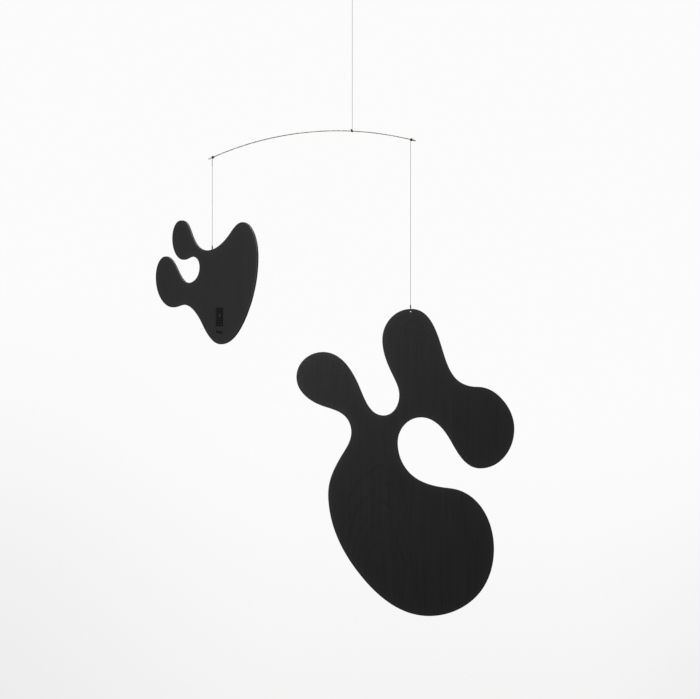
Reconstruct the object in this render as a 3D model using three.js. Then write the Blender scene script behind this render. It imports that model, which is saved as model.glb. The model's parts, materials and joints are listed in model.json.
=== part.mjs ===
// Hanging mobile: two flat black plywood forms on threads from the ends of a bent steel wire.
// Millimetres, +Z up, front face towards -Y. The origin is the inside top of the hanging loop,
// and the main thread hangs down from it along the Z axis.
import * as THREE from 'three';

const GAP = 0.3; // air between pieces that touch

// Driving dimensions
const PLY_THICKNESS = 3;
const PLY_ARRIS = 0.4; // rounding of the plywood's edges
const HOLE_RADIUS = 0.8; // hanging hole of each form
const THREAD_RADIUS = 0.25;
const WIRE_RADIUS = 0.7;

const TIE_HEIGHT = -220.3; // where the main thread holds the wire
const BEND_RADIUS = 446; // the wire is one arc
const BEND_CENTRE_X = -21;
const WIRE_LEFT_END = -208.5;
const WIRE_RIGHT_END = 92;

const SMALL_THREAD_X = -203;
const SMALL_HOLE_Z = -395.5;
const SMALL_TURN = -57; // degrees about its thread: its right side comes forward
const LARGE_THREAD_X = 84.5;
const LARGE_HOLE_Z = -482;

const LOOP_HEIGHT = 13; // hanging loop, inside top to knot
const LOOP_HALF_WIDTH = 3.2;
const LOOP_KNOT = { radius: 1.1, length: 4.5 };
const FORM_KNOT = { radius: 0.9, length: 6 };
const SMALL_EDGE = 3.5; // top edge of the form, above its hanging hole
const LARGE_EDGE = 4;
const CENTRE_TIE = { x: -0.5, radius: 2, length: 3.4 };
const LEFT_TIE = { x: -202.1, radius: 1.9, length: 4 };
const RIGHT_TIE = { x: 85.7, radius: 1.9, length: 4.4 };

// Outlines, counter-clockwise from above the hanging hole. Each mark is a place that the edge
// passes through, in millimetres from the hole, and the heading of the edge there in degrees.
const LARGE_OUTLINE = [
  [1, 4, 180], // crown, top
  [-41, -41, -90], // crown, left side
  [-26, -92, -64],
  [-16.5, -121, -90], // notch, right side
  [-39, -150.5, 180], // notch, floor
  [-74, -109, 113],
  [-127, -58.5, 180], // wing, top
  [-165.5, -95, -90], // wing, tip
  [-130, -136, -21], // wing, underside
  [-94, -153, -48],
  [-86, -175, -90], // waist
  [-96.5, -203, -122],
  [-119.5, -264, -90], // hip
  [-82, -370, -54], // long flank
  [27, -441.5, 0], // belly, lowest point
  [93.5, -415, 44],
  [121, -344, 90], // belly, right side
  [57, -256, 174], // cove, mouth
  [6, -240, 144], // cove, floor
  [-18.5, -190, 90], // cove, back
  [15, -153.5, 0], // cove, roof
  [59, -189, -61],
  [101, -227.5, 0], // fist, underside
  [150.5, -170, 90], // fist, right side
  [128, -122, 137],
  [97, -109, 180], // fist, top
  [64, -95, 129], // elbow
  [46, -54, 107],
];

const SMALL_OUTLINE = [
  [-12, 2.5, 180], // saddle, lowest point
  [-34, 6.5, 158],
  [-57.5, 28, 124],
  [-68, 41.5, 138],
  [-88, 48, 180], // horn, top
  [-112, 22, -90], // horn, tip
  [-80, -10, 0], // horn, underside
  [-63, -7, 13],
  [-53, -6, 0], // gap, roof
  [-34, -21, -90], // gap, back
  [-66, -44, 180], // gap, floor
  [-100, -21.5, 131],
  [-132, -4, 180], // snout, top
  [-160, -34, -90], // snout, tip
  [-110, -79.5, 0], // snout, underside
  [-79, -76, 0],
  [-24.5, -106.5, -48],
  [25, -134, 0], // keel
  [84, -105, 47],
  [125.5, -9, 90], // shoulder, right side
  [84, 41, 180], // shoulder, top
  [51.5, 26, 217],
];

const FACET_TURN = 6; // degrees of heading between two points of an outline

const { degToRad, euclideanModulo } = THREE.MathUtils;

const plywood = new THREE.MeshStandardMaterial({ color: 0x2f2f2e, roughness: 0.55, metalness: 0 });
const thread = new THREE.MeshStandardMaterial({ color: 0x1c1b1a, roughness: 0.9, metalness: 0 });
const steel = new THREE.MeshStandardMaterial({ color: 0xb9b5ad, roughness: 0.35, metalness: 1 });

function named(name, geometry, material) {
  const mesh = new THREE.Mesh(geometry, material.clone());
  mesh.name = name;
  return mesh;
}

// ---- Outlines of the forms ----

// How far a curve's handle reaches along the chord, for the angles that the edge makes with
// the chord at the near end and at the far end: it gives the roundest curve between two marks.
function handleReach(near, far) {
  const skew = Math.SQRT2 * (Math.sin(near) - Math.sin(far) / 16)
    * (Math.sin(far) - Math.sin(near) / 16) * (Math.cos(near) - Math.cos(far));
  const root = Math.sqrt(5);
  const spread = 1 + (root - 1) / 2 * Math.cos(near) + (3 - root) / 2 * Math.cos(far);
  return (2 + skew) / (3 * spread);
}

function signedAngle(angle) {
  return euclideanModulo(angle + Math.PI, 2 * Math.PI) - Math.PI;
}

function towards(heading, length) {
  return new THREE.Vector2(length * Math.cos(heading), length * Math.sin(heading));
}

// The points of the smooth edge from one mark up to, but without, the next.
function stretch([x0, z0, heading0], [x1, z1, heading1]) {
  const start = new THREE.Vector2(x0, z0);
  const end = new THREE.Vector2(x1, z1);
  const chord = end.clone().sub(start);
  const leave = degToRad(heading0);
  const arrive = degToRad(heading1);
  const near = signedAngle(leave - chord.angle());
  const far = signedAngle(chord.angle() - arrive);
  const handle0 = towards(leave, chord.length() * handleReach(near, far));
  const handle1 = towards(arrive, chord.length() * handleReach(far, near));
  const curve = new THREE.CubicBezierCurve(start, start.clone().add(handle0), end.clone().sub(handle1), end);
  const facets = Math.ceil((Math.abs(near) + Math.abs(far)) / degToRad(FACET_TURN));
  return curve.getPoints(Math.max(facets, 2)).slice(0, -1);
}

function outlineOf(marks) {
  return marks.flatMap((mark, index) => stretch(mark, marks[(index + 1) % marks.length]));
}

// A flat form with rounded arrises, upright in the XZ plane with its hanging hole at the origin.
function flatForm(marks) {
  const shape = new THREE.Shape(outlineOf(marks));
  shape.holes.push(new THREE.Path().absarc(0, 0, HOLE_RADIUS, 0, 2 * Math.PI, true));
  const geometry = new THREE.ExtrudeGeometry(shape, {
    depth: PLY_THICKNESS - 2 * PLY_ARRIS,
    bevelThickness: PLY_ARRIS,
    bevelSize: PLY_ARRIS,
    bevelOffset: -PLY_ARRIS,
    bevelSegments: 1,
    curveSegments: 8,
  });
  geometry.translate(0, 0, PLY_ARRIS - PLY_THICKNESS / 2);
  return geometry.rotateX(Math.PI / 2);
}

// ---- Wire, threads, ties and knots ----

function circle(radius, sides) {
  const corners = Array.from({ length: sides }, (_, side) => towards(2 * Math.PI * side / sides, radius));
  return new THREE.Shape(corners);
}

function tube(path, radius, sides, steps) {
  return new THREE.ExtrudeGeometry(circle(radius, sides), { extrudePath: path, steps, bevelEnabled: false });
}

function bendAngle(x) {
  return Math.asin((x - BEND_CENTRE_X) / BEND_RADIUS); // from straight up, positive to the right
}

function wirePoint(x) {
  const rise = BEND_RADIUS * (Math.cos(bendAngle(x)) - Math.cos(bendAngle(0)));
  return new THREE.Vector3(x, 0, TIE_HEIGHT + rise);
}

class WireArc extends THREE.Curve {
  getPoint(t, target = new THREE.Vector3()) {
    const angle = THREE.MathUtils.lerp(bendAngle(WIRE_LEFT_END), bendAngle(WIRE_RIGHT_END), t);
    return target.copy(wirePoint(BEND_CENTRE_X + BEND_RADIUS * Math.sin(angle)));
  }
}

function straightThread(x, top, bottom) {
  const path = new THREE.LineCurve3(new THREE.Vector3(x, 0, top), new THREE.Vector3(x, 0, bottom));
  return tube(path, THREAD_RADIUS, 8, 10);
}

// Turns of thread wound tight round the wire: a ring with a rounded outside.
function tie({ x, radius, length }) {
  const bore = WIRE_RADIUS + GAP;
  const round = new THREE.EllipseCurve(bore, 0, radius - bore, length / 2, -Math.PI / 2, Math.PI / 2);
  const profile = round.getPoints(8);
  profile.push(profile[0].clone());
  const ring = new THREE.LatheGeometry(profile, 16);
  ring.rotateZ(-Math.PI / 2);
  ring.rotateY(bendAngle(x));
  const { z } = wirePoint(x);
  return ring.translate(x, 0, z);
}

// A barrel-shaped knot, its lower end at the given place on a thread.
function knot(x, bottom, { radius, length }) {
  const round = new THREE.EllipseCurve(0, length / 2, radius, length / 2, -Math.PI / 2, Math.PI / 2);
  const profile = round.getPoints(10).map(({ x: out, y: up }) => new THREE.Vector2(Math.max(out, 0), up));
  const barrel = new THREE.LatheGeometry(profile, 14);
  barrel.rotateX(Math.PI / 2);
  return barrel.translate(x, 0, bottom);
}

// A strand that leaves a knot, goes round through the points of one side and mirrored back.
function loopTube(sidePoints, mirror, steps) {
  const back = sidePoints.slice(0, -1).reverse().map((point) => point.clone().multiply(mirror));
  return tube(new THREE.CatmullRomCurve3([...sidePoints, ...back]), THREAD_RADIUS, 8, steps);
}

// The loop of thread that holds a form: out of both sides of the knot on its top edge, down
// both faces and through its hole, which is at the origin.
function holdingLoop(edge) {
  const face = PLY_THICKNESS / 2 + GAP + THREAD_RADIUS;
  const top = HOLE_RADIUS - GAP - THREAD_RADIUS;
  const sidePoints = [
    new THREE.Vector3(0, -FORM_KNOT.radius - GAP, edge + 1.3),
    new THREE.Vector3(0, -0.85 * face, edge + 0.9),
    new THREE.Vector3(0, -face - 0.1, edge),
    new THREE.Vector3(0, -face - 0.1, top + 1),
    new THREE.Vector3(0, -face + 0.2, top + 0.2),
    new THREE.Vector3(0, -0.5 * face, top - 0.05),
    new THREE.Vector3(0, 0, top - 0.05),
  ];
  return loopTube(sidePoints, new THREE.Vector3(1, -1, 1), 28);
}

function hangingLoop() {
  const knotTop = -LOOP_HEIGHT + GAP;
  const sidePoints = [
    new THREE.Vector3(-2 * THREAD_RADIUS, 0, knotTop),
    new THREE.Vector3(-0.55 * LOOP_HALF_WIDTH, 0, -0.7 * LOOP_HEIGHT),
    new THREE.Vector3(-LOOP_HALF_WIDTH, 0, -LOOP_HALF_WIDTH),
    new THREE.Vector3(-0.7 * LOOP_HALF_WIDTH, 0, THREAD_RADIUS - 0.3 * LOOP_HALF_WIDTH),
    new THREE.Vector3(0, 0, THREAD_RADIUS),
  ];
  return loopTube(sidePoints, new THREE.Vector3(-1, 1, 1), 36);
}

// ---- The mobile ----

// A form with its knot and loop, turned about its thread.
function hungForm(name, marks, edge, x, holeZ, turn) {
  const hung = new THREE.Group();
  hung.position.set(x, 0, holeZ);
  hung.rotation.z = degToRad(turn);
  hung.add(
    named(`${name}_form`, flatForm(marks), plywood),
    named(`${name}_knot`, knot(0, edge + GAP, FORM_KNOT), thread),
    named(`${name}_loop`, holdingLoop(edge), thread),
  );
  return hung;
}

function formThread(name, tieAbove, edge, x, holeZ) {
  const top = wirePoint(x).z - (tieAbove.radius + GAP) / Math.cos(bendAngle(x));
  const bottom = holeZ + edge + GAP + FORM_KNOT.length + GAP;
  return named(`${name}_thread`, straightThread(x, top, bottom), thread);
}

function suspension() {
  const knotBottom = -LOOP_HEIGHT - LOOP_KNOT.length;
  const threadBottom = TIE_HEIGHT + CENTRE_TIE.radius + GAP;
  const group = new THREE.Group();
  group.add(
    named('hanging_loop', hangingLoop(), thread),
    named('loop_knot', knot(0, knotBottom, LOOP_KNOT), thread),
    named('main_thread', straightThread(0, knotBottom - GAP, threadBottom), thread),
  );
  return group;
}

function arm() {
  const group = new THREE.Group();
  group.add(
    named('arm_wire', tube(new WireArc(), WIRE_RADIUS, 12, 40), steel),
    named('centre_tie', tie(CENTRE_TIE), thread),
    named('left_tie', tie(LEFT_TIE), thread),
    named('right_tie', tie(RIGHT_TIE), thread),
    formThread('small', LEFT_TIE, SMALL_EDGE, SMALL_THREAD_X, SMALL_HOLE_Z),
    formThread('large', RIGHT_TIE, LARGE_EDGE, LARGE_THREAD_X, LARGE_HOLE_Z),
  );
  return group;
}

const mobile = new THREE.Group();
mobile.add(
  suspension(),
  arm(),
  hungForm('small', SMALL_OUTLINE, SMALL_EDGE, SMALL_THREAD_X, SMALL_HOLE_Z, SMALL_TURN),
  hungForm('large', LARGE_OUTLINE, LARGE_EDGE, LARGE_THREAD_X, LARGE_HOLE_Z, 0),
);

export default mobile;
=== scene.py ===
"""Hanging mobile: two flat black plywood forms on twisted threads from a bent steel wire.

The file is laid out as an add-on. Sizes and colours are properties of the scene, each piece or group
of like pieces has its own operator, and a panel in the 3D view's sidebar lists them. Everything is in
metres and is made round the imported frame, which gives the places.
"""

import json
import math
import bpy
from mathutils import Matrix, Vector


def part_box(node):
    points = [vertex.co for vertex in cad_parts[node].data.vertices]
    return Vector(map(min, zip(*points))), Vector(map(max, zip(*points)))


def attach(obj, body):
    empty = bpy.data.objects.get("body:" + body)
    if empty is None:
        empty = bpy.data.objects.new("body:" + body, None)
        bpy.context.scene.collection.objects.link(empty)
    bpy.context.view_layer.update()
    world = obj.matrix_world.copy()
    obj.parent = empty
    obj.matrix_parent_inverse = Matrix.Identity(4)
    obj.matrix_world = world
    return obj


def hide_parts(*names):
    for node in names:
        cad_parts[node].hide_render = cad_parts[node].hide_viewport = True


bl_info = {
    "name": "Hanging mobile",
    "version": (1, 0, 0),
    "blender": (4, 5, 0),
    "location": "3D View > Sidebar > Mobile",
    "description": "Two black plywood forms on twisted threads from a bent steel wire",
    "category": "Add Mesh",
}

import bpy
import numpy as np
from bpy.props import FloatProperty, FloatVectorProperty, PointerProperty
from mathutils import Matrix, Vector, kdtree, noise
from mathutils.geometry import delaunay_2d_cdt

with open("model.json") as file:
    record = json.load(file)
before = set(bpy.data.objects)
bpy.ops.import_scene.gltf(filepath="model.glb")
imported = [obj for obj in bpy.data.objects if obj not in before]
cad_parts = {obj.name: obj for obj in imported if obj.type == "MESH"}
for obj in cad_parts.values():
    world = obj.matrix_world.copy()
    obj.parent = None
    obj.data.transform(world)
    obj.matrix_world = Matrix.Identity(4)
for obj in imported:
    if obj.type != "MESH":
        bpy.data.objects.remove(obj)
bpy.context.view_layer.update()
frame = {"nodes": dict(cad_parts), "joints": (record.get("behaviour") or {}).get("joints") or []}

# ---- Places and sizes that the frame gives ----

JOINT_PLACES = {joint["name"]: Vector(joint["pos_m"]) for joint in frame["joints"]}
WIRE_MIDDLE = JOINT_PLACES["arm_turn"]  # where the main thread holds the wire
SMALL_HOLE = JOINT_PLACES["small_turn"]
LARGE_HOLE = JOINT_PLACES["large_turn"]


def width_of(node, axis):
    low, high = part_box(node)
    return high[axis] - low[axis]


PLY_THICKNESS = width_of("large_form", 1)
WIRE_DIAMETER = width_of("arm_wire", 1)
THREAD_DIAMETER = width_of("main_thread", 1)

# ---- The route of the wire and the threads, as the frame has it ----

WIRE_BEND_RADIUS = 0.446
WIRE_BEND_CENTRE_X = -0.021
WIRE_ENDS_X = (-0.2085, 0.092)
CENTRE_TIE_X = -0.0005
LEFT_TIE_X = -0.2021
RIGHT_TIE_X = 0.0857

SMALL_TURN = math.radians(-57)  # about its thread, its right side forward
HOLE_RADIUS = 0.0008
SMALL_EDGE = 0.0035  # top edge of the form, above its hole
LARGE_EDGE = 0.0040
CAD_ARRIS = 0.0004

# The ends of each thread, and its length.
MAIN_THREAD = ((0.0, 0.0, -0.2192), (0.0, 0.0, -0.0150), 0.204)
SMALL_THREAD = ((-0.2030, 0.0, -0.2590), (-0.2030, 0.0, -0.3864), 0.1274)
LARGE_THREAD = ((0.0845, 0.0, -0.2329), (0.0845, 0.0, -0.4724), 0.2395)
ROUTE_POINTS = 25

HANGING_LOOP_SIDE = (
    (-0.00025, 0.0, -0.0134),
    (-0.0017, 0.0, -0.0091),
    (-0.0032, 0.0, -0.0034),
    (-0.0023, 0.0, -0.0008),
    (0.0, 0.0, 0.00025),
)


def eye_side(edge):
    """From a form's knot over its top edge, down one face and into the hole, measured from the hole."""
    return (
        (0.0, -0.0002, edge + 0.0015),
        (0.0, -0.0008, edge + 0.0009),
        (0.0, -0.00165, edge + 0.0001),
        (0.0, -0.00182, edge - 0.0009),
        (0.0, -0.00176, 0.0012),
        (0.0, -0.00125, 0.00058),
        (0.0, -0.0006, 0.00054),
        (0.0, 0.0, 0.00054),
    )


def form_place(hole, turn):
    """The place of a form, its loop and its patch: at the form's hole, turned about its thread."""
    return Matrix.Translation(hole) @ Matrix.Rotation(turn, 4, "Z")


def wire_angle(x):
    return math.asin((x - WIRE_BEND_CENTRE_X) / WIRE_BEND_RADIUS)


def wire_point(x):
    rise = WIRE_BEND_RADIUS * (math.cos(wire_angle(x)) - math.cos(wire_angle(WIRE_MIDDLE.x)))
    return Vector((x, 0.0, WIRE_MIDDLE.z + rise))


# ---- Sizes and colours that can be changed ----


def length_property(name, description, default, low, high):
    return FloatProperty(
        name=name, description=description, default=default, min=low, max=high, unit="LENGTH", precision=5
    )


def colour_property(name, description, default):
    return FloatVectorProperty(
        name=name, description=description, default=default, subtype="COLOR", size=3, min=0.0, max=1.0
    )


class MobileSizes(bpy.types.PropertyGroup):
    """Sizes of the stock and of its finer work."""

    ply_thickness: length_property(
        "Plywood thickness", "Thickness of both forms", PLY_THICKNESS, 0.001, 0.01
    )
    face_veneer: length_property(
        "Face veneer", "Thickness of the two outer layers of the plywood", 0.00085, 0.0002, 0.003
    )
    arris: length_property("Arris", "Sanded rounding of the plywood's edges", CAD_ARRIS, 0.0001, 0.001)
    wire_diameter: length_property(
        "Wire diameter", "Diameter of the steel wire", WIRE_DIAMETER, 0.0005, 0.004
    )
    thread_diameter: length_property(
        "Thread diameter", "Diameter of the twisted thread", THREAD_DIAMETER, 0.0003, 0.001
    )
    thread_pitch: length_property(
        "Thread twist", "Length in which the thread's three plies go once round", 0.0015, 0.0006, 0.01
    )
    patch_width: length_property(
        "Patch width", "Width of the dark printed patch on the small form", 0.0205, 0.005, 0.04
    )
    patch_height: length_property(
        "Patch height", "Height of the dark printed patch on the small form", 0.027, 0.005, 0.05
    )


class MobileColours(bpy.types.PropertyGroup):
    """Colours of the finishes."""

    stain: colour_property("Stain", "Black stain of the plywood", (0.0155, 0.0155, 0.0152))
    stain_worn: colour_property(
        "Thin stain", "The stain where the grain shows through it", (0.0190, 0.0189, 0.0186)
    )
    bare_edge: colour_property(
        "Rubbed edge", "Wood that shows along rubbed arrises", (0.120, 0.092, 0.068)
    )
    core: colour_property("Core", "Stained end grain of the plywood's layers", (0.056, 0.049, 0.041))
    steel: colour_property("Steel", "Drawn steel wire", (0.36, 0.335, 0.290))
    thread: colour_property("Thread", "Black twisted thread", (0.016, 0.0155, 0.0145))
    patch: colour_property("Patch", "Ink of the plain patch", (0.0032, 0.0032, 0.0032))
    backdrop: colour_property("Backdrop", "Paper behind and under the mobile", (0.965, 0.965, 0.965))


# ---- Making meshes ----


def new_piece(name, vertices, faces, material, place=None):
    """A smooth-shaded mesh object of that name, in place of an older one."""
    older = bpy.data.objects.get(name)
    if older is not None:
        bpy.data.objects.remove(older)
    mesh = bpy.data.meshes.new(name)
    mesh.from_pydata(np.asarray(vertices, float).tolist(), [], faces)
    if mesh.validate():
        raise RuntimeError(f"{name} has faces that aren't valid")
    mesh.polygons.foreach_set("use_smooth", [True] * len(mesh.polygons))
    mesh.materials.append(material)
    piece = bpy.data.objects.new(name, mesh)
    bpy.context.scene.collection.objects.link(piece)
    if place is not None:
        piece.matrix_world = place
    return piece


def evenly(points, step):
    """The same line again, with points about a step apart."""
    points = np.asarray(points, float)
    along = np.concatenate([[0.0], np.cumsum(np.linalg.norm(np.diff(points, axis=0), axis=1))])
    places = np.linspace(0.0, along[-1], max(2, round(along[-1] / step) + 1))
    return np.stack([np.interp(places, along, column) for column in points.T], axis=1)


def smooth_line(points, step, closed=False):
    """A curve through the points, with the slope at each point taken from both its neighbours."""
    points = np.asarray(points, float)
    if closed:
        points = np.concatenate([points[-1:], points, points[:2]])
    else:
        points = np.concatenate([[2 * points[0] - points[1]], points, [2 * points[-1] - points[-2]]])
    gaps = np.linalg.norm(np.diff(points, axis=0), axis=1)[:, None]
    slopes = np.diff(points, axis=0) / gaps
    tangents = (slopes[1:] * gaps[:-1] + slopes[:-1] * gaps[1:]) / (gaps[1:] + gaps[:-1])
    line = []
    for start, end, leave, arrive, gap in zip(
        points[1:-2], points[2:-1], tangents[:-1], tangents[1:], gaps[1:-1, 0]
    ):
        share = np.linspace(0.0, 1.0, max(2, math.ceil(gap / step) + 1))[:-1, None]
        square, cube = share**2, share**3
        line.append(
            (2 * cube - 3 * square + 1) * start
            + (cube - 2 * square + share) * gap * leave
            + (3 * square - 2 * cube) * end
            + (cube - square) * gap * arrive
        )
    if not closed:
        line.append(points[-2:-1])
    return np.concatenate(line)


def carried_sides(line):
    """Two directions across a line at each of its points, carried along it without turning."""
    along = np.gradient(line, axis=0)
    along /= np.linalg.norm(along, axis=1)[:, None]
    side = np.cross(along[0], (0.0, 1.0, 0.0))
    if np.linalg.norm(side) < 0.1:
        side = np.cross(along[0], (1.0, 0.0, 0.0))
    sides = []
    for direction in along:
        side = side - direction * side.dot(direction)
        side /= np.linalg.norm(side)
        sides.append(side)
    sides = np.array(sides)
    return sides, np.cross(along, sides)


def ring_faces(rings, corners, first=0, closed=False, caps=True):
    """Faces that join rings of corners in a row, wound so that they look outward."""
    index = first + np.arange(rings * corners).reshape(rings, corners)
    near = index if closed else index[:-1]
    far = np.roll(index, -1, axis=0) if closed else index[1:]
    quads = np.stack([near, np.roll(near, -1, axis=1), np.roll(far, -1, axis=1), far], axis=-1)
    faces = quads.reshape(-1, 4).tolist()
    if caps and not closed:
        faces.append(index[0, ::-1].tolist())
        faces.append(index[-1].tolist())
    return faces


def tube(line, radii, corners):
    """A round tube along a line, with a radius at each point."""
    sides, ups = carried_sides(line)
    angles = np.arange(corners) * 2 * math.pi / corners
    across = np.cos(angles)[:, None] * sides[:, None] + np.sin(angles)[:, None] * ups[:, None]
    vertices = line[:, None] + np.asarray(radii, float)[:, None, None] * across
    return vertices.reshape(-1, 3), ring_faces(len(line), corners)


PLIES = 3
STRAND_CORNERS = 4 * PLIES
VALLEY = 0.6  # how near the valleys between plies come to the middle
TURN_RINGS = 9  # rings of corners in one turn of the twist
FULL_RADIUS = 0.57  # of a ply's crest, so that the strand is as wide as its diameter on average
CREST_SHAPE = 0.7  # below 1 for full plies with narrow valleys
END_FULLNESS = 0.45  # at a cut end, where the strand tapers in
TAPER_RINGS = 2


def strand(points, diameter, pitch):
    """A thread of three plies twisted round each other, along a line. It tapers in at its ends."""
    line = evenly(points, pitch / TURN_RINGS)
    sides, ups = carried_sides(line)
    turn = np.arange(len(line)) * 2 * math.pi / TURN_RINGS
    corners = np.arange(STRAND_CORNERS) * 2 * math.pi / STRAND_CORNERS
    crests = np.abs(np.cos(corners * PLIES / 2)) ** CREST_SHAPE
    outline = diameter * FULL_RADIUS * (VALLEY + (1 - VALLEY) * crests)
    angles = corners[None, :] + turn[:, None]
    across = np.cos(angles)[..., None] * sides[:, None] + np.sin(angles)[..., None] * ups[:, None]
    ends = np.minimum(np.arange(len(line)), np.arange(len(line))[::-1])
    fullness = np.minimum(1.0, END_FULLNESS + (1 - END_FULLNESS) / TAPER_RINGS * ends)
    vertices = line[:, None] + fullness[:, None, None] * outline[None, :, None] * across
    return vertices.reshape(-1, 3), ring_faces(len(line), STRAND_CORNERS)


def joined(*parts):
    """Several lists of vertices and faces as one."""
    vertices, faces = [], []
    for part_vertices, part_faces in parts:
        first = sum(len(v) for v in vertices)
        vertices.append(np.asarray(part_vertices, float))
        faces += [[corner + first for corner in face] for face in part_faces]
    return np.concatenate(vertices), faces


WINDING_STEPS = 24  # points of a winding's line in one turn
DRIFT_PACE = 0.31  # of the wound thread's wandering along the axis
LIFT_PACE = 0.43  # and away from it


def winding(layers, phase, looseness):
    """The line of thread wound to and fro round the X axis. A layer is its start, end, turns and radius."""
    axial, radius, angle = [], [], []
    turned = phase
    for start, end, turns, layer_radius in layers:
        share = np.arange(turns * WINDING_STEPS) / (turns * WINDING_STEPS)
        axial.append(start + (end - start) * share)
        radius.append(np.full(len(share), layer_radius))
        angle.append(turned + 2 * math.pi * turns * share)
        turned += 2 * math.pi * turns
    axial, radius, angle = (np.concatenate(parts) for parts in (axial, radius, angle))
    even = np.ones(WINDING_STEPS // 2) / (WINDING_STEPS // 2)
    pad = len(even)
    axial, radius = (
        np.convolve(np.pad(values, pad, "edge"), even, "same")[pad:-pad] for values in (axial, radius)
    )
    drift = np.array([noise.noise(Vector((a * DRIFT_PACE, phase, 0.0))) for a in angle])
    lift = np.array([noise.noise(Vector((a * LIFT_PACE, 0.0, phase + 7.0))) for a in angle])
    axial = axial + looseness * drift
    radius = radius + 0.5 * looseness * np.maximum(lift, 0.0)
    return np.stack([axial, radius * np.cos(angle), radius * np.sin(angle)], axis=1)


# ---- Finishes ----


class Finish:
    """A material whose nodes are added one by one."""

    def __init__(self, name):
        older = bpy.data.materials.get(name)
        if older is not None:
            bpy.data.materials.remove(older)
        self.material = bpy.data.materials.new(name)
        self.material.use_nodes = True
        self.tree = self.material.node_tree
        self.shader = self.tree.nodes["Principled BSDF"]

    def feed(self, node, **inputs):
        """Sets a node's inputs to values, or links them to other nodes' outputs. i6 is input number 6."""
        for name, value in inputs.items():
            numbered = name[0] == "i" and name[1:].isdigit()
            socket = node.inputs[int(name[1:]) if numbered else name]
            if isinstance(value, bpy.types.NodeSocket):
                self.tree.links.new(value, socket)
            else:
                socket.default_value = value

    def add(self, kind, settings=None, **inputs):
        node = self.tree.nodes.new(kind)
        for name, value in (settings or {}).items():
            setattr(node, name, value)
        self.feed(node, **inputs)
        return node

    def own_place(self):
        """A point's place in the piece's own directions."""
        return self.add("ShaderNodeTexCoord").outputs["Object"]

    def scaled(self, place, scale):
        return self.add("ShaderNodeMapping", None, Vector=place, Scale=scale).outputs["Vector"]

    def speckle(self, place, scale, detail=4.0, roughness=0.55, distortion=0.0):
        """Cloudy noise from 0 to 1, stretched by the scales of the three directions."""
        node = self.add(
            "ShaderNodeTexNoise",
            None,
            Vector=self.scaled(place, scale),
            Scale=1.0,
            Detail=detail,
            Roughness=roughness,
            Distortion=distortion,
        )
        return node.outputs["Fac"]

    def sum(self, operation, first, second=0.0, third=0.0):
        node = self.add("ShaderNodeMath", {"operation": operation}, i0=first, i1=second, i2=third)
        return node.outputs[0]

    def between(self, value, low, high, to_low=0.0, to_high=1.0):
        """The value, spread from low and high to two others and smoothed."""
        node = self.add(
            "ShaderNodeMapRange",
            {"interpolation_type": "SMOOTHSTEP"},
            **{"Value": value, "From Min": low, "From Max": high, "To Min": to_low, "To Max": to_high},
        )
        return node.outputs["Result"]

    def mixed(self, share, first, second, blend="MIX"):
        """Two colours mixed by a share."""
        settings = {"data_type": "RGBA", "blend_type": blend}
        node = self.add("ShaderNodeMix", settings, i0=share, i6=first, i7=second)
        return node.outputs[2]

    def mark(self, name):
        """A number painted on the mesh's points."""
        return self.add("ShaderNodeAttribute", {"attribute_name": name}).outputs["Fac"]

    def bumped(self, height, distance, strength=1.0, under=None):
        node = self.add("ShaderNodeBump", None, Height=height, Distance=distance, Strength=strength)
        if under is not None:
            self.feed(node, Normal=under)
        return node.outputs["Normal"]

    def finish(self, **inputs):
        named = {name.replace("_", " "): value for name, value in inputs.items()}
        self.feed(self.shader, **named)
        return self.material


def opaque(colour, strength=1.0):
    """A colour, made lighter or darker, with its fourth number."""
    return (*(strength * channel for channel in colour), 1.0)


HEART_X = -0.034  # the middle of the grain's arches, from a form's hole
HEART_Z = -0.52
RING_SQUASH = 0.2  # heights are scaled by this, so a ring is five times as tall as wide
RING_GAP = 0.0072
DARK_BAND = (0.009, 0.009, 0.009)
DARK_ARCH = (0.008, 0.008, 0.0078)
DARK_PORE = (0.007, 0.007, 0.007)
# painted glow: the lighter colour painted on a face near its edge
PAINTED_EDGE_GLOW = (0.027, 0.0268, 0.0264)
GLUE = (0.016, 0.014, 0.012)


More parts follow.
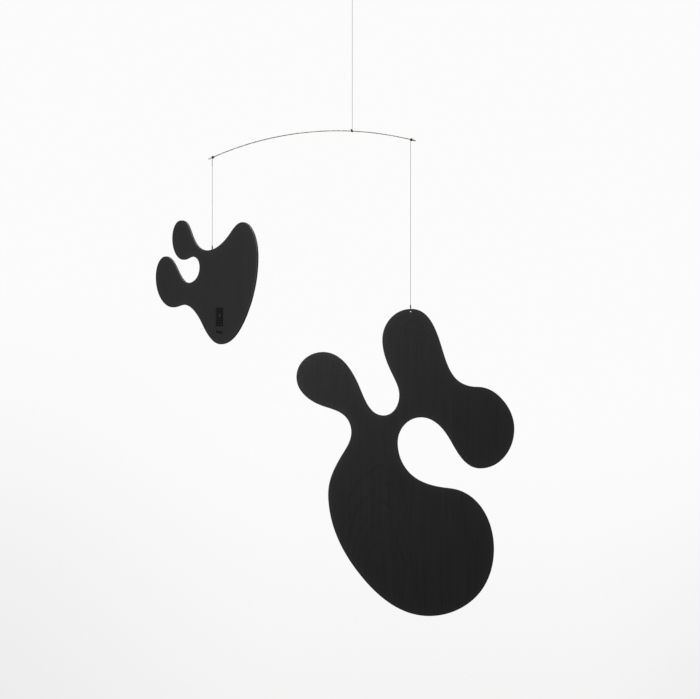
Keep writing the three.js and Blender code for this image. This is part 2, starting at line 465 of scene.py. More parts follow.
def stained_plywood(colours):
    """Black stained plywood: faint upright grain with dark arches, open pores, rubbed arrises, layers, and
    a painted glow that makes each face lighter and shinier near its edge.
    """
    made = Finish("black_stained_plywood")
    place = made.own_place()
    slow = made.scaled(place, (7.0, 7.0, 5.0))
    sway = made.add("ShaderNodeTexNoise", None, Vector=slow, Scale=1.0, Detail=1.0)
    swayed = made.add(
        "ShaderNodeVectorMath",
        {"operation": "MULTIPLY_ADD"},
        i0=sway.outputs["Color"],
        i1=(0.02, 0.0, 0.0),
        i2=place,
    ).outputs[0]
    streaks = made.speckle(swayed, (430.0, 0.0, 9.0), 6.0, 0.62)
    bands = made.speckle(swayed, (62.0, 0.0, 3.0), 2.0, 0.5)
    pores = made.speckle(swayed, (2100.0, 0.0, 85.0), 2.0, 0.5)
    open_pores = made.between(pores, 0.60, 0.70)
    drift = made.speckle(place, (9.0, 0.0, 7.0), 2.0, 0.5, 0.4)
    flattened = made.add(
        "ShaderNodeMapping",
        None,
        Vector=swayed,
        Location=(-HEART_X, 0.0, -HEART_Z * RING_SQUASH),
        Scale=(1.0, 0.0, RING_SQUASH),
    ).outputs["Vector"]
    from_heart = made.add("ShaderNodeVectorMath", {"operation": "LENGTH"}, i0=flattened).outputs["Value"]
    growth = made.sum("MULTIPLY_ADD", drift, 0.035, from_heart)
    contour = made.sum("SINE", made.sum("MULTIPLY", growth, 2 * math.pi / RING_GAP))
    patchy = made.between(made.speckle(place, (19.0, 0.0, 12.0), 2.0, 0.5), 0.42, 0.58, 0.05, 1.0)
    lines = made.sum("MULTIPLY", made.between(contour, 0.55, 1.0), patchy)
    outer = made.between(growth, 0.076, 0.092, 1.0, 0.0)
    arches = made.sum("MULTIPLY", lines, made.sum("MULTIPLY", outer, made.between(growth, 0.034, 0.046)))
    face = made.mixed(made.between(streaks, 0.34, 0.68), opaque(colours.stain), opaque(colours.stain_worn))
    face = made.mixed(made.between(bands, 0.35, 0.68, 0.0, 0.16), face, opaque(DARK_BAND))
    face = made.mixed(made.sum("MULTIPLY", arches, 0.2), face, opaque(DARK_ARCH))
    face = made.mixed(made.sum("MULTIPLY", open_pores, 0.4), face, opaque(DARK_PORE))
    # Painted light: each face is made lighter near its edge, a painted glow along the edge.
    edge_glow = made.mark("near_edge")
    face = made.mixed(made.sum("MULTIPLY", edge_glow, 0.6), face, opaque(PAINTED_EDGE_GLOW))

    fibres = made.speckle(place, (900.0, 5200.0, 900.0), 3.0, 0.6)
    layers = made.mark("layer")
    edge = made.mixed(
        made.between(fibres, 0.36, 0.66),
        opaque(colours.core, 0.72),
        opaque(colours.core, 1.2),
    )
    edge = made.mixed(made.sum("MULTIPLY", layers, 0.75), edge, opaque(GLUE))
    wall = made.mark("wall")
    colour = made.mixed(wall, face, edge)

    rubbed = made.speckle(place, (95.0, 95.0, 95.0), 5.0, 0.62)
    worn = made.sum("MULTIPLY", made.mark("rub"), made.between(rubbed, 0.34, 0.62, 0.55, 1.0))
    colour = made.mixed(worn, colour, opaque(colours.bare_edge))

    gloss = made.between(streaks, 0.3, 0.7, 0.455, 0.505)
    dulled = made.sum("MULTIPLY_ADD", wall, 0.22, gloss)
    grain = made.sum("MULTIPLY_ADD", open_pores, -0.9, streaks)
    grain = made.sum("MULTIPLY_ADD", arches, -0.16, grain)
    shine = made.sum("MULTIPLY_ADD", arches, -0.032, made.between(streaks, 0.3, 0.7, 0.300, 0.340))
    # the painted glow near the edge also raises the face's shine
    shine = made.sum("MULTIPLY_ADD", edge_glow, 0.10, shine)
    on_face = made.sum("SUBTRACT", 1.0, wall)
    relief = made.bumped(made.sum("MULTIPLY", grain, on_face), 0.00004, 0.45)
    relief = made.bumped(made.sum("MULTIPLY", fibres, wall), 0.00006, 0.7, relief)
    return made.finish(Base_Color=colour, Roughness=dulled, Normal=relief, Specular_IOR_Level=shine)


STEEL_SCRATCH = (0.17, 0.155, 0.130)
THREAD_DUST = (0.06, 0.057, 0.052)


def drawn_steel(colours):
    """Drawn steel wire: fine lines along it, cloudy handling marks."""
    made = Finish("drawn_steel")
    place = made.own_place()
    lines = made.speckle(place, (35.0, 5200.0, 5200.0), 3.0, 0.6)
    cloud = made.speckle(place, (160.0, 400.0, 400.0), 4.0, 0.6)
    colour = made.mixed(
        made.between(cloud, 0.34, 0.68),
        opaque(colours.steel),
        opaque(colours.steel, 0.62),
    )
    colour = made.mixed(made.between(lines, 0.4, 0.75, 0.0, 0.5), colour, opaque(STEEL_SCRATCH))
    gloss = made.between(cloud, 0.3, 0.7, 0.44, 0.60)
    return made.finish(
        Base_Color=colour, Metallic=1.0, Roughness=gloss, Normal=made.bumped(lines, 0.00001, 0.5)
    )


def twisted_thread(colours):
    """Black thread: matt fibres with a little sheen, dusty in patches."""
    made = Finish("black_thread")
    place = made.own_place()
    fibres = made.speckle(place, (9000.0, 9000.0, 9000.0), 3.0, 0.7)
    dust = made.speckle(place, (260.0, 260.0, 260.0), 3.0, 0.6)
    colour = made.mixed(
        made.between(fibres, 0.35, 0.7),
        opaque(colours.thread, 0.55),
        opaque(colours.thread, 1.9),
    )
    colour = made.mixed(made.between(dust, 0.5, 0.8, 0.0, 0.35), colour, opaque(THREAD_DUST))
    gloss = made.between(fibres, 0.3, 0.7, 0.62, 0.9)
    return made.finish(
        Base_Color=colour,
        Roughness=gloss,
        Normal=made.bumped(fibres, 0.00003, 0.8),
        Sheen_Weight=0.3,
        Sheen_Roughness=0.45,
    )


def thread_finish():
    """The one material of all threads, made when it is first asked for."""
    return bpy.data.materials.get("black_thread") or twisted_thread(bpy.context.scene.mobile_colours)


def patch_ink(name, colour, darker, shine):
    """Ink printed on plywood: the grain breaks it up a little."""
    made = Finish(name)
    place = made.own_place()
    grain = made.speckle(place, (700.0, 700.0, 30.0), 4.0, 0.6)
    blots = made.speckle(place, (1400.0, 1400.0, 1400.0), 3.0, 0.6)
    tone = made.mixed(
        made.between(made.sum("ADD", grain, made.sum("MULTIPLY", blots, 0.5)), 0.6, 0.95),
        opaque(colour),
        opaque(colour, darker),
    )
    gloss = made.between(grain, 0.3, 0.7, 0.45, 0.55)
    return made.finish(
        Base_Color=tone,
        Roughness=gloss,
        Normal=made.bumped(grain, 0.00003, 0.5),
        Specular_IOR_Level=shine,
    )


# ---- Flat forms ----


MICRONS = 1e6  # in a metre
LEVEL_SLACK = 6  # microns


def outer_edge(node, hole, turn):
    """The outer edge of a CAD form as a closed row of (x, z) points in the form's own plane."""
    to_form = Matrix.Rotation(-turn, 4, "Z") @ Matrix.Translation(-hole)
    mesh = frame["nodes"][node].data
    spots = [tuple(round(c * MICRONS) for c in to_form @ vertex.co) for vertex in mesh.vertices]
    level = round((CAD_ARRIS - PLY_THICKNESS / 2) * MICRONS)
    beside = {}
    for edge in mesh.edges:
        one, other = (spots[vertex] for vertex in edge.vertices)
        if one != other and max(abs(one[1] - level), abs(other[1] - level)) < LEVEL_SLACK:
            beside.setdefault(one, set()).add(other)
            beside.setdefault(other, set()).add(one)
    here = max(beside)
    row = [here]
    here = min(beside[here])
    while here != row[0]:
        (following,) = beside[here] - {row[-1]}
        row.append(here)
        here = following
    points = np.array(row, float)[:, [0, 2]] / MICRONS
    ahead = np.roll(points, -1, axis=0)
    if np.sum(points[:, 0] * ahead[:, 1] - ahead[:, 0] * points[:, 1]) < 0:
        points = points[::-1]
    return points


def outward(ring):
    """The directions out of an anticlockwise ring, at each of its points."""
    along = np.roll(ring, -1, axis=0) - np.roll(ring, 1, axis=0)
    along /= np.linalg.norm(along, axis=1)[:, None]
    return np.stack([along[:, 1], -along[:, 0]], axis=1)


def wandering(ring, reach, seed):
    """Slow noise from about -1 to 1 at each point of a ring."""
    return np.array([noise.noise(Vector((x * reach, z * reach, seed))) * 1.6 for x, z in ring])


ARRIS_STEPS = 5
FACE_MARGIN = 0.0016  # how far in a form's face the last ring lies
GLUE_GROOVE = 0.00005
GLUE_HALF = 0.00012  # half the height of a glue line


def board_profile(arris, half, face_veneer):
    """Rings of a board's edge from the front face round to the back: set-in, depth, rub, wall, layer."""
    rings = [(np.full_like(arris, FACE_MARGIN), -half + 0 * arris, 0.0, 0.0, 0.0)]
    for step in range(ARRIS_STEPS + 1):
        angle = step / ARRIS_STEPS * math.pi / 2
        set_in = arris * (1 - math.sin(angle))
        depth = -half + arris * (1 - math.cos(angle))
        rub = math.sin(2 * min(angle, math.pi / 2 - angle))
        rings.append((set_in, depth, rub, math.sin(angle) ** 2, 0.0))
    glue = half - face_veneer
    for depth, groove, layer in (
        (-glue - GLUE_HALF, 0.0, 0.0),
        (-glue, 1.0, 1.0),
        (-glue + GLUE_HALF, 0.35, 0.25),
        (0.0, 0.2, 0.3),
    ):
        rings.append((GLUE_GROOVE * groove + 0 * arris, depth + 0 * arris, 0.0, 1.0, layer))
    mirrored = [(set_in, -depth, rub, wall, layer) for set_in, depth, rub, wall, layer in rings[-2::-1]]
    return rings + mirrored


def swept(ring, profile, inward):
    """The rings of a profile, set in from a flat ring; a hole's go the other way."""
    normals = outward(ring) * (1 if inward else -1)
    levels = []
    for set_in, depth, *_ in profile:
        flat = ring - normals * set_in[:, None]
        levels.append(np.stack([flat[:, 0], depth, flat[:, 1]], axis=1))
    return np.array(levels)


def inside(points, ring):
    """Which of the points lie inside a ring."""
    x, z = points[:, :1], points[:, 1:]
    x0, z0 = ring[:, 0], ring[:, 1]
    x1, z1 = np.roll(x0, -1), np.roll(z0, -1)
    crosses = ((z0 > z) != (z1 > z)) & (x < (x1 - x0) * (z - z0) / (z1 - z0 + 1e-18) + x0)
    return crosses.sum(axis=1) % 2 == 1


def face_triangles(ring, hole_ring, spacing):
    """Points spread over a flat face, and the triangles that fill it between its edge and its hole."""
    low, high = ring.min(axis=0), ring.max(axis=0)
    rows = np.arange(low[1], high[1], spacing * math.sqrt(0.75))
    columns = np.arange(low[0], high[0], spacing)
    grid = np.array([(x + row % 2 * spacing / 2, z) for row, z in enumerate(rows) for x in columns])
    grid = grid[inside(grid, ring)]
    edge = np.concatenate([ring, hole_ring])
    near = np.array([np.min(np.sum((edge - point) ** 2, axis=1)) for point in grid])
    grid = grid[near > (0.6 * spacing) ** 2]
    flat = np.concatenate([ring, hole_ring, grid])
    around = [(i, (i + 1) % len(ring)) for i in range(len(ring))]
    around += [(len(ring) + i, len(ring) + (i + 1) % len(hole_ring)) for i in range(len(hole_ring))]
    places, _, triangles, sources, _, _ = delaunay_2d_cdt(
        [Vector(point) for point in flat], around, [], 1, 1e-7
    )
    if len(places) != len(flat) or any(len(source) != 1 for source in sources):
        raise RuntimeError("the face's points don't fill it cleanly")
    number = [source[0] for source in sources]
    hole_corners = set(range(len(ring), len(ring) + len(hole_ring)))
    numbered = [[number[corner] for corner in triangle] for triangle in triangles]
    return grid, [triangle for triangle in numbered if not hole_corners.issuperset(triangle)]


# how far in from the edge the painted glow reaches
EDGE_GLOW_REACH = 0.006


def nearness(points, ring):
    """How near each point lies to a ring: 1 on it, falling off inward."""
    tree = kdtree.KDTree(len(ring))
    for index, (x, z) in enumerate(ring):
        tree.insert((x, z, 0.0), index)
    tree.balance()
    return np.exp([-tree.find((x, z, 0.0))[2] / EDGE_GLOW_REACH for x, z in points])


OUTLINE_STEP = 0.0016
FACE_SPACING = 0.005
HOLE_CORNERS = 40
HOLE_ARRIS = 0.00018
ARRIS_WANDER = 0.22  # share by which the sanding of the edge varies
WANDER_PACE = 55.0


def build_board(name, node, hole, turn, sizes, material, seed):
    """A plywood form: a smooth edge with arrises rounded by sanding, glue lines in its side and a drilled
    hole.
    """
    half = sizes.ply_thickness / 2
    ring = smooth_line(outer_edge(node, hole, turn), OUTLINE_STEP, closed=True)
    arris = sizes.arris * (1 + ARRIS_WANDER * wandering(ring, WANDER_PACE, seed))
    profile = board_profile(arris, half, sizes.face_veneer)
    edge_levels = swept(ring, profile, inward=True)

    angles = np.arange(HOLE_CORNERS) * 2 * math.pi / HOLE_CORNERS
    hole_ring = HOLE_RADIUS * np.stack([np.cos(angles), np.sin(angles)], axis=1)
    hole_profile = board_profile(np.full(HOLE_CORNERS, HOLE_ARRIS), half, sizes.face_veneer)[1:-1]
    hole_levels = swept(hole_ring, hole_profile, inward=False)

    face_ring, face_hole = edge_levels[0][:, [0, 2]], hole_levels[0][:, [0, 2]]
    grid, triangles = face_triangles(face_ring, face_hole, FACE_SPACING)

    corners, hole_corners = len(ring), HOLE_CORNERS
    hole_first = edge_levels.shape[0] * corners
    front_first = hole_first + hole_levels.shape[0] * hole_corners
    back_first = front_first + len(grid)
    vertices = np.concatenate(
        [
            edge_levels.reshape(-1, 3),
            hole_levels.reshape(-1, 3),
            np.stack([grid[:, 0], np.full(len(grid), -half), grid[:, 1]], axis=1),
            np.stack([grid[:, 0], np.full(len(grid), half), grid[:, 1]], axis=1),
        ]
    )

    def numbered(corner, edge_level, hole_level, grid_first):
        if corner < corners:
            return edge_level * corners + corner
        if corner < corners + hole_corners:
            return hole_first + hole_level * hole_corners + corner - corners
        return grid_first + corner - corners - hole_corners

    front = [[numbered(c, 0, 0, front_first) for c in triangle] for triangle in triangles]
    back_levels = (edge_levels.shape[0] - 1, hole_levels.shape[0] - 1)
    back = [[numbered(c, *back_levels, back_first) for c in triangle[::-1]] for triangle in triangles]
    walls = [face[::-1] for face in ring_faces(edge_levels.shape[0], corners, caps=False)]
    bore = ring_faces(hole_levels.shape[0], hole_corners, hole_first, caps=False)

    board = new_piece(name, vertices, front + back + walls + bore, material, form_place(hole, turn))
    plain = np.zeros(2 * len(grid))
    # mask of the painted glow: 1 at the edge, falling off inward
    near_edge = board.data.attributes.new("near_edge", "FLOAT", "POINT")
    near_edge.data.foreach_set("value", nearness(vertices[:, [0, 2]], ring))
    for mark, column in (("rub", 2), ("wall", 3), ("layer", 4)):
        values = np.concatenate(
            [
                np.repeat([level[column] for level in profile], corners),
                np.repeat([level[column] for level in hole_profile], hole_corners),
                plain,
            ]
        )
        board.data.attributes.new(mark, "FLOAT", "POINT").data.foreach_set("value", values)
    return board


# ---- Plain printed patch ----


def plate(outline, low, high):
    """A thin raised plate with softened top edges on a form's front face, from its (x, z) outline."""
    ring = np.asarray(outline, float)
    rise = high - low
    levels = []
    for set_in, below_top in ((0.0, 1.0), (0.0, 0.4), (0.25, 0.1), (1.0, 0.0)):
        flat = ring - outward(ring) * set_in * rise
        depth = np.full(len(flat), below_top * rise - high)
        levels.append(np.stack([flat[:, 0], depth, flat[:, 1]], axis=1))
    return np.concatenate(levels), ring_faces(len(levels), len(ring))


def rounded(x, z, width, height, corner, steps=5):
    """A rounded oblong as an anticlockwise ring of points."""
    points = []
    for quarter, (way_x, way_z) in enumerate(((1, 1), (-1, 1), (-1, -1), (1, -1))):
        for step in range(steps + 1):
            angle = (quarter + step / steps) * math.pi / 2
            points.append(
                (
                    x + way_x * (width / 2 - corner) + corner * math.cos(angle),
                    z + way_z * (height / 2 - corner) + corner * math.sin(angle),
                )
            )
    return points


PATCH_MIDDLE = (0.0224, -0.0945)  # from the small form's hole, in its plane
PATCH_CORNER = 0.0016
PATCH_RISE = 0.00006
PATCH_DEPTH = 0.0002  # how far the ink's plates reach into the face
STROKE_ROWS = 7
STROKE_COLUMNS = 4
STROKE_SIZE = (0.0030, 0.0008)
DOT_WIDTH = 0.0064
DOT_SHIFT = (0.0008, 0.0019)  # from the patch's middle
DOT_CLEARANCE = 0.0048  # no stroke's middle lies nearer to the dot's
BARS = 3  # the small mark below the patch
BAR_SIZE = (0.0052, 0.0042)
BAR_GAP = 0.0060
BAR_SHIFT = (-0.0004, -0.0219)  # from the patch's middle to the middle bar
BAR_STEP_DOWN = 0.0005  # from each bar to the next


def build_patch(sizes, ink, pale):
    """A plain dark patch with rows of short strokes, a dot in its middle and a small mark below it."""
    face = sizes.ply_thickness / 2
    x, z = PATCH_MIDDLE
    width, height = sizes.patch_width, sizes.patch_height
    ground = [rounded(x, z, width, height, PATCH_CORNER)]
    bar_x, bar_z = x + BAR_SHIFT[0], z + BAR_SHIFT[1]
    for bar in range(BARS):
        along = bar - (BARS - 1) / 2
        ground.append(
            rounded(bar_x + along * BAR_GAP, bar_z - along * BAR_STEP_DOWN, *BAR_SIZE, PATCH_CORNER)
        )
    ground = [plate(outline, face - PATCH_DEPTH, face + PATCH_RISE) for outline in ground]
    place = form_place(SMALL_HOLE, SMALL_TURN)
    patch = new_piece("plain_patch", *joined(*ground), ink, place)
    marks = []
    dot_x, dot_z = x + DOT_SHIFT[0], z + DOT_SHIFT[1]
    column_gap, row_gap = width / (STROKE_COLUMNS + 0.5), height / (STROKE_ROWS + 0.7)
    for row in range(STROKE_ROWS):
        for column in range(STROKE_COLUMNS):
            stroke_x = x + (column - (STROKE_COLUMNS - 1) / 2) * column_gap
            stroke_z = z + (row - (STROKE_ROWS - 1) / 2) * row_gap
            if math.hypot(stroke_x - dot_x, stroke_z - dot_z) > DOT_CLEARANCE:
                marks.append(rounded(stroke_x, stroke_z, *STROKE_SIZE, 0.475 * STROKE_SIZE[1], 3))
    marks.append(rounded(dot_x, dot_z, DOT_WIDTH, DOT_WIDTH, 0.499 * DOT_WIDTH, 8))
    marks = [plate(outline, face, face + 1.5 * PATCH_RISE) for outline in marks]
    strokes = new_piece("patch_strokes", *joined(*marks), pale, place)
    return patch, strokes


# ---- Operators ----


def stand_for(piece, body, node):
    """Puts a piece on its body, in the place of the node that it shows more finely."""
    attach(piece, body)
    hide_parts(node)


class PieceOperator:
    """What the operators of the pieces share."""

    bl_options = {"REGISTER", "UNDO"}

    @property
    def sizes(self):
        return bpy.context.scene.mobile_sizes

    @property
    def colours(self):
        return bpy.context.scene.mobile_colours


CAMERA_DISTANCE = 6.0
CAMERA_X = -0.0033
CAMERA_Z = -0.537
VIEW_WIDTH = 1.015  # at the mobile
SENSOR_WIDTH = 36.0
AIR_LIGHT = 0.12
ROOM_RADIUS = 9.0
ROOM_COVE = 2.6
COVE_STEPS = 16
ROOM_SIDES = 96
FLOOR_Z = -2.5
ROOM_TOP = 9.0

LIGHTS = (  # name, place, width, power
    ("key", (-0.35, -0.9, 0.15), 0.4, 6.2),
    ("fill", (-0.45, -1.2, -0.35), 0.4, 3.3),
    ("side", (-1.8, 0.8, -0.3), 1.0, 1.3),
    ("rim", (0.55, 0.35, 0.45), 0.6, 7.0),
    ("top", (0.2, 0.2, 1.9), 0.8, 30.0),
    ("far_key", (0.35, 0.9, 0.15), 0.4, 6.2),
    ("far_fill", (0.45, 1.2, -0.35), 0.4, 3.3),
)


class MOBILE_OT_stage(PieceOperator, bpy.types.Operator):
    """Make the camera, the soft studio lights and the pale floor with its cove"""

    bl_idname = "mobile.stage"
    bl_label = "Stage"

    def execute(self, context):
        scene = context.scene
        camera = bpy.data.objects.new("camera", bpy.data.cameras.new("camera"))
        camera.data.sensor_width = SENSOR_WIDTH
        camera.data.lens = SENSOR_WIDTH * CAMERA_DISTANCE / VIEW_WIDTH
        camera.data.clip_end = 100.0
        camera.location = (CAMERA_X, -CAMERA_DISTANCE, CAMERA_Z)
        camera.rotation_euler = (math.pi / 2, 0.0, 0.0)
        scene.collection.objects.link(camera)
        scene.camera = camera
        scene.view_settings.view_transform = "Standard"
        scene.view_settings.look = "None"

        world = bpy.data.worlds.new("studio_air")
        world.use_nodes = True
        background = world.node_tree.nodes["Background"]
        background.inputs["Color"].default_value = (1.0, 1.0, 1.0, 1.0)
        background.inputs["Strength"].default_value = AIR_LIGHT
        scene.world = world

        for name, place, width, power in LIGHTS:
            self.soft_light(scene, name, Vector(place), width, power)
        self.room(self.colours.backdrop)
        return {"FINISHED"}

    @staticmethod
    def soft_light(scene, name, place, width, power):
        data = bpy.data.lights.new(name, "AREA")
        data.size = width
        data.energy = power
        light = bpy.data.objects.new(name, data)
        light.location = place
        aim = Vector((0.0, 0.0, CAMERA_Z)) - place
        light.rotation_euler = aim.to_track_quat("-Z", "Y").to_euler()
        light.visible_camera = False
        scene.collection.objects.link(light)

    @staticmethod
    def room(colour):
        """A round floor that runs up into a wall, seen by the camera and not lighting the mobile. Its paper
        glows rather than being lit, and painted shade makes it darker toward the bottom and toward the
        lower left and right.
        """
        profile = [(0.02, FLOOR_Z), (2.0, FLOOR_Z), (4.0, FLOOR_Z)]
        for step in range(COVE_STEPS + 1):
            angle = step / COVE_STEPS * math.pi / 2
            profile.append(
                (
                    ROOM_RADIUS - ROOM_COVE + ROOM_COVE * math.sin(angle),
                    FLOOR_Z + ROOM_COVE - ROOM_COVE * math.cos(angle),
                )
            )
        profile += [(ROOM_RADIUS, 3.0), (ROOM_RADIUS, ROOM_TOP)]
        angles = np.arange(ROOM_SIDES) * 2 * math.pi / ROOM_SIDES
        rings = [
            np.stack([radius * np.cos(angles), radius * np.sin(angles), np.full(ROOM_SIDES, z)], axis=1)
            for radius, z in profile
        ]
        faces = [face[::-1] for face in ring_faces(len(rings), ROOM_SIDES, caps=False)]
        faces.append(list(range(ROOM_SIDES)))
        made = Finish("backdrop_paper")
        place = made.own_place()
        split = made.add("ShaderNodeSeparateXYZ", None, Vector=place)
        across, height = split.outputs["X"], split.outputs["Z"]
        # painted shade: the glow is made darker toward the bottom, and toward the lower left and right
        low = made.between(height, -0.75, -2.4, 0.0, 0.105)
        left = made.sum(
            "MULTIPLY", made.between(across, -0.15, -1.6, 0.0, 0.078), made.between(height, -0.30, -1.40)
        )
        right = made.sum(
            "MULTIPLY", made.between(across, 0.75, 1.5, 0.0, 0.060), made.between(height, -0.7, -1.9)
        )
        shaded = made.sum("ADD", made.sum("ADD", low, left), right)
        fibre = made.speckle(place, (60.0, 60.0, 60.0), 3.0, 0.6)
        tone = made.sum(
            "MULTIPLY", made.sum("SUBTRACT", 1.0, shaded), made.between(fibre, 0.3, 0.7, 0.998, 1.0)
        )
        lit = made.add("ShaderNodeCombineColor", None, Red=tone, Green=tone, Blue=tone)
        shade = made.mixed(1.0, lit.outputs[0], opaque(colour), "MULTIPLY")
        paper = made.finish(
            Base_Color=(0.02, 0.02, 0.02, 1.0),
            Roughness=0.9,
            Specular_IOR_Level=0.0,
            Emission_Color=shade,
            Emission_Strength=1.0,
        )
        room = new_piece("studio_floor", np.concatenate(rings), faces, paper)
        room.visible_diffuse = False
        room.visible_glossy = False
        room.visible_shadow = False


KNOT_TURNED = Matrix.Rotation(-math.pi / 2, 4, "Y")  # a winding's axis, from X to Z
PULLED_TIGHT = 0.85  # width of the thread in a knot or the tail, beside its width when slack
KNOT_INNER = 1.38  # radius of a knot's inner layer, in widths of its thread
KNOT_OUTER = 1.84
KNOT_LOOSENESS = 0.00007
CORE_CORNERS = 16
CORE_SHAPE = (0.3, 0.62, 0.8, 0.85, 0.85, 0.85, 0.8, 0.62, 0.3)  # of the inner layer's radius
CORE_OVERHANG = 0.0002


class MOBILE_OT_knots(PieceOperator, bpy.types.Operator):
    """Wind the long knots that close the loops"""

    bl_idname = "mobile.knots"
    bl_label = "Knots"

    def execute(self, context):
        thread = PULLED_TIGHT * self.sizes.thread_diameter
        inner, outer = KNOT_INNER * thread, KNOT_OUTER * thread
        on_form = ((0.0025, -0.0027, 12, inner), (-0.0026, 0.0001, 7, outer))
        on_loop = ((-0.00205, 0.00205, 10, inner), (0.0017, -0.0017, 8, 1.12 * outer))
        for name, body, node, layers, lean in (
            ("small_barrel_knot", "small", "small_knot", on_form, -5),
            ("large_barrel_knot", "large", "large_knot", on_form, -4),
            ("loop_barrel_knot", "suspension", "loop_knot", on_loop, 0),
        ):
            low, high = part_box(node)
            middle = (Vector(low) + Vector(high)) / 2
            start, end = layers[0][:2]
            phase = middle.x * 31 + 1.7  # each knot wanders in its own way
            line = winding(layers, phase, KNOT_LOOSENESS)
            low_end, high_end = min(start, end) - CORE_OVERHANG, max(start, end) + CORE_OVERHANG
            axis = [(x, 0.0, 0.0) for x in np.linspace(low_end, high_end, len(CORE_SHAPE))]
            core = tube(np.array(axis), inner * np.array(CORE_SHAPE), CORE_CORNERS)
            wound = strand(line, thread, self.sizes.thread_pitch)
            place = Matrix.Translation(middle) @ Matrix.Rotation(math.radians(lean), 4, "Y") @ KNOT_TURNED
            knot = new_piece(name, *joined(wound, core), thread_finish(), place)
            stand_for(knot, body, node)
        return {"FINISHED"}


def mirrored_loop(side, mirror):
    """A loop's route: one side of it, and the same back again on the other side."""
    side = [Vector(point) for point in side]
    return [*side, *(Vector(a * b for a, b in zip(point, mirror)) for point in side[-2::-1])]


class MOBILE_OT_loops(PieceOperator, bpy.types.Operator):
    """Lay the hanging loop and the loops of thread that go through the forms' holes"""

    bl_idname = "mobile.loops"
    bl_label = "Loops"

    def execute(self, context):
        hanging = mirrored_loop(HANGING_LOOP_SIDE, (-1, 1, 1))
        small_eye = mirrored_loop(eye_side(SMALL_EDGE), (1, -1, 1))
        large_eye = mirrored_loop(eye_side(LARGE_EDGE), (1, -1, 1))
        for name, body, node, route, place in (
            ("hanging_eye", "suspension", "hanging_loop", hanging, Matrix.Identity(4)),
            ("small_eye", "small", "small_loop", small_eye, form_place(SMALL_HOLE, SMALL_TURN)),
            ("large_eye", "large", "large_loop", large_eye, form_place(LARGE_HOLE, 0.0)),
        ):
            line = smooth_line(route, self.sizes.thread_diameter / 4)
            made = strand(line, self.sizes.thread_diameter, self.sizes.thread_pitch)
            loop = new_piece(name, *made, thread_finish(), place)
            stand_for(loop, body, node)
        return {"FINISHED"}


TAIL_POINTS = 90
TAIL_TURNS = 3.5
TAIL_DROP = 0.0012  # from the left tie to where the tail starts
TAIL_LENGTH = 0.0105
TAIL_LIFTS = 0.86  # share of the tail after which its end stands off


class MOBILE_OT_threads(PieceOperator, bpy.types.Operator):
    """Hang the three twisted threads and the short tail under the left tie"""

    bl_idname = "mobile.threads"
    bl_label = "Threads"

    def execute(self, context):
        diameter, pitch = self.sizes.thread_diameter, self.sizes.thread_pitch
        tail = self.tail(diameter, pitch)
        at_loop = ["loop_barrel_knot", "hanging_eye"]
        at_small = ["small_barrel_knot", "small_eye", tail]
        at_large = ["large_barrel_knot", "large_eye"]
        for name, body, node, (start, end, length), pieces in (
            ("main_cord", "suspension", "main_thread", MAIN_THREAD, at_loop),
            ("small_cord", "arm", "small_thread", SMALL_THREAD, at_small),
            ("large_cord", "arm", "large_thread", LARGE_THREAD, at_large),
        ):
            route = np.linspace(start, end, ROUTE_POINTS)
            cord = new_piece(name, *strand(route, diameter, pitch), thread_finish())
            stand_for(cord, body, node)
        return {"FINISHED"}

    @staticmethod
    def tail(diameter, pitch):
        """The thread's short end, laid round the thread below the left tie."""
        share = np.linspace(0.0, 1.0, TAIL_POINTS)
        angle = share * 2 * math.pi * TAIL_TURNS
        away = diameter * (0.92 + 0.9 * np.maximum(0.0, share - TAIL_LIFTS) / (1 - TAIL_LIFTS))
        x, _, z = SMALL_THREAD[0]
        height = z - TAIL_DROP - TAIL_LENGTH * share
        line = np.stack([x + away * np.cos(angle), away * np.sin(angle), height], axis=1)
        tail = new_piece("thread_tail", *strand(line, PULLED_TIGHT * diameter, pitch), thread_finish())
        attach(tail, "arm")
        return "thread_tail"


WIRE_RINGS = 220
WIRE_CORNERS = 32


class MOBILE_OT_wire(PieceOperator, bpy.types.Operator):
    """Bend the steel wire with its cut and softened ends"""

    bl_idname = "mobile.wire"
    bl_label = "Wire"

    def execute(self, context):
        radius = self.sizes.wire_diameter / 2
        start, end = (wire_angle(x) for x in WIRE_ENDS_X)
        chamfer = 0.25 * radius / WIRE_BEND_RADIUS
        inner = np.linspace(start + 3 * chamfer, end - 3 * chamfer, WIRE_RINGS)
        first_rings = [start, start + chamfer, start + 2 * chamfer]
        last_rings = [end - 2 * chamfer, end - chamfer, end]
        angles = np.concatenate([first_rings, inner, last_rings])
        places_x = WIRE_BEND_CENTRE_X + WIRE_BEND_RADIUS * np.sin(angles)
        line = np.array([wire_point(x) for x in places_x])
        radii = np.full(len(line), radius)
        radii[[0, -1]] = 0.72 * radius
        radii[[1, -2]] = 0.93 * radius
        wire = new_piece("bent_wire", *tube(line, radii, WIRE_CORNERS), drawn_steel(self.colours))
        stand_for(wire, "arm", "arm_wire")
        return {"FINISHED"}


TIE_LOOSENESS = 0.00009
HITCH_LEAN = math.radians(35)
HITCH_PLACE = (-0.0009, 0.0, 0.0020)  # from the middle of the centre tie
HITCH_LOOSENESS = 0.00004


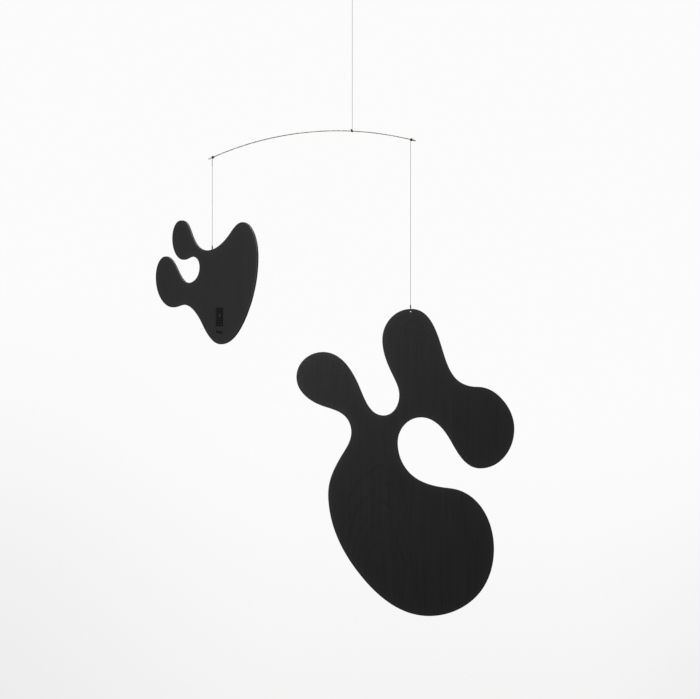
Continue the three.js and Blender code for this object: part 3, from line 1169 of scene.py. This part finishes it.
class MOBILE_OT_ties(PieceOperator, bpy.types.Operator):
    """Wind the thread round the wire at its middle and near its ends"""

    bl_idname = "mobile.ties"
    bl_label = "Ties"

    def execute(self, context):
        thread = self.sizes.thread_diameter
        first = (self.sizes.wire_diameter + thread) / 2
        second, third = first + 0.87 * thread, first + 1.6 * thread
        for name, node, x, layers in (
            (
                "centre_winding",
                "centre_tie",
                CENTRE_TIE_X,
                ((-0.0014, 0.0014, 7, first), (0.0012, -0.0006, 4, second)),
            ),
            (
                "left_winding",
                "left_tie",
                LEFT_TIE_X,
                ((-0.0019, 0.0019, 9, first), (0.00155, -0.00155, 7, second), (-0.0010, 0.0010, 5, third)),
            ),
            (
                "right_winding",
                "right_tie",
                RIGHT_TIE_X,
                (
                    (0.0056, 0.0022, 3, first),
                    (0.0019, -0.0019, 8, first),
                    (-0.0016, 0.0017, 7, second),
                    (0.0012, -0.0009, 5, third),
                ),
            ),
        ):
            phase = x * 40 + 0.6  # each tie wanders in its own way
            line = winding(layers, phase, TIE_LOOSENESS)
            parts = [strand(line, thread, self.sizes.thread_pitch)]
            if node == "centre_tie":
                parts.append(self.hitch(thread))
            place = Matrix.Translation(wire_point(x)) @ Matrix.Rotation(wire_angle(x), 4, "Y")
            tie = new_piece(name, *joined(*parts), thread_finish(), place)
            stand_for(tie, "arm", node)
        return {"FINISHED"}

    def hitch(self, thread):
        """The knot that ends the middle tie: it lies on the wire beside the main thread."""
        layers = ((-0.0011, 0.0011, 5, 1.2 * thread), (0.0008, -0.0008, 4, 0.7 * thread))
        wound = winding(layers, 2.2, HITCH_LOOSENESS)
        leaned = Matrix.Translation(HITCH_PLACE) @ Matrix.Rotation(HITCH_LEAN, 4, "Y")
        placed = np.array([leaned @ Vector(point) for point in wound])
        return strand(placed, thread, self.sizes.thread_pitch)


class MOBILE_OT_forms(PieceOperator, bpy.types.Operator):
    """Cut the two plywood forms and stain them black"""

    bl_idname = "mobile.forms"
    bl_label = "Forms"

    def execute(self, context):
        stained = stained_plywood(self.colours)
        for name, body, node, hole, turn, seed in (
            ("small_board", "small", "small_form", SMALL_HOLE, SMALL_TURN, 3.0),
            ("large_board", "large", "large_form", LARGE_HOLE, 0.0, 11.0),
        ):
            board = build_board(name, node, hole, turn, self.sizes, stained, seed)
            stand_for(board, body, node)
        return {"FINISHED"}


PALE_INK = (0.019, 0.019, 0.0185)


class MOBILE_OT_patch(PieceOperator, bpy.types.Operator):
    """Print the plain dark patch on the small form"""

    bl_idname = "mobile.patch"
    bl_label = "Patch"

    def execute(self, context):
        ink = patch_ink("patch_ink", self.colours.patch, darker=0.5, shine=0.12)
        pale = patch_ink("patch_pale_ink", PALE_INK, darker=0.7, shine=0.32)
        for piece in build_patch(self.sizes, ink, pale):
            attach(piece, "small")
        return {"FINISHED"}


PIECE_OPERATORS = (
    MOBILE_OT_stage,
    MOBILE_OT_knots,
    MOBILE_OT_loops,
    MOBILE_OT_threads,
    MOBILE_OT_wire,
    MOBILE_OT_ties,
    MOBILE_OT_forms,
    MOBILE_OT_patch,
)


class MOBILE_PT_panel(bpy.types.Panel):
    """Panel in the 3D view's sidebar"""

    bl_idname = "MOBILE_PT_panel"
    bl_label = "Hanging mobile"
    bl_space_type = "VIEW_3D"
    bl_region_type = "UI"
    bl_category = "Mobile"

    def draw(self, context):
        for settings in (context.scene.mobile_sizes, context.scene.mobile_colours):
            column = self.layout.column()
            for name in settings.bl_rna.properties.keys():
                if name not in {"rna_type", "name"}:
                    column.prop(settings, name)
        for operator in PIECE_OPERATORS:
            self.layout.operator(operator.bl_idname)


CLASSES = (MobileSizes, MobileColours, *PIECE_OPERATORS, MOBILE_PT_panel)


def register():
    for cls in CLASSES:
        bpy.utils.register_class(cls)
    bpy.types.Scene.mobile_sizes = PointerProperty(type=MobileSizes)
    bpy.types.Scene.mobile_colours = PointerProperty(type=MobileColours)


def unregister():
    del bpy.types.Scene.mobile_colours
    del bpy.types.Scene.mobile_sizes
    for cls in reversed(CLASSES):
        bpy.utils.unregister_class(cls)


def main():
    register()
    bpy.ops.mobile.stage()
    bpy.ops.mobile.knots()
    bpy.ops.mobile.loops()
    bpy.ops.mobile.threads()
    bpy.ops.mobile.wire()
    bpy.ops.mobile.ties()
    bpy.ops.mobile.forms()
    bpy.ops.mobile.patch()


if __name__ == "__main__":
    main()
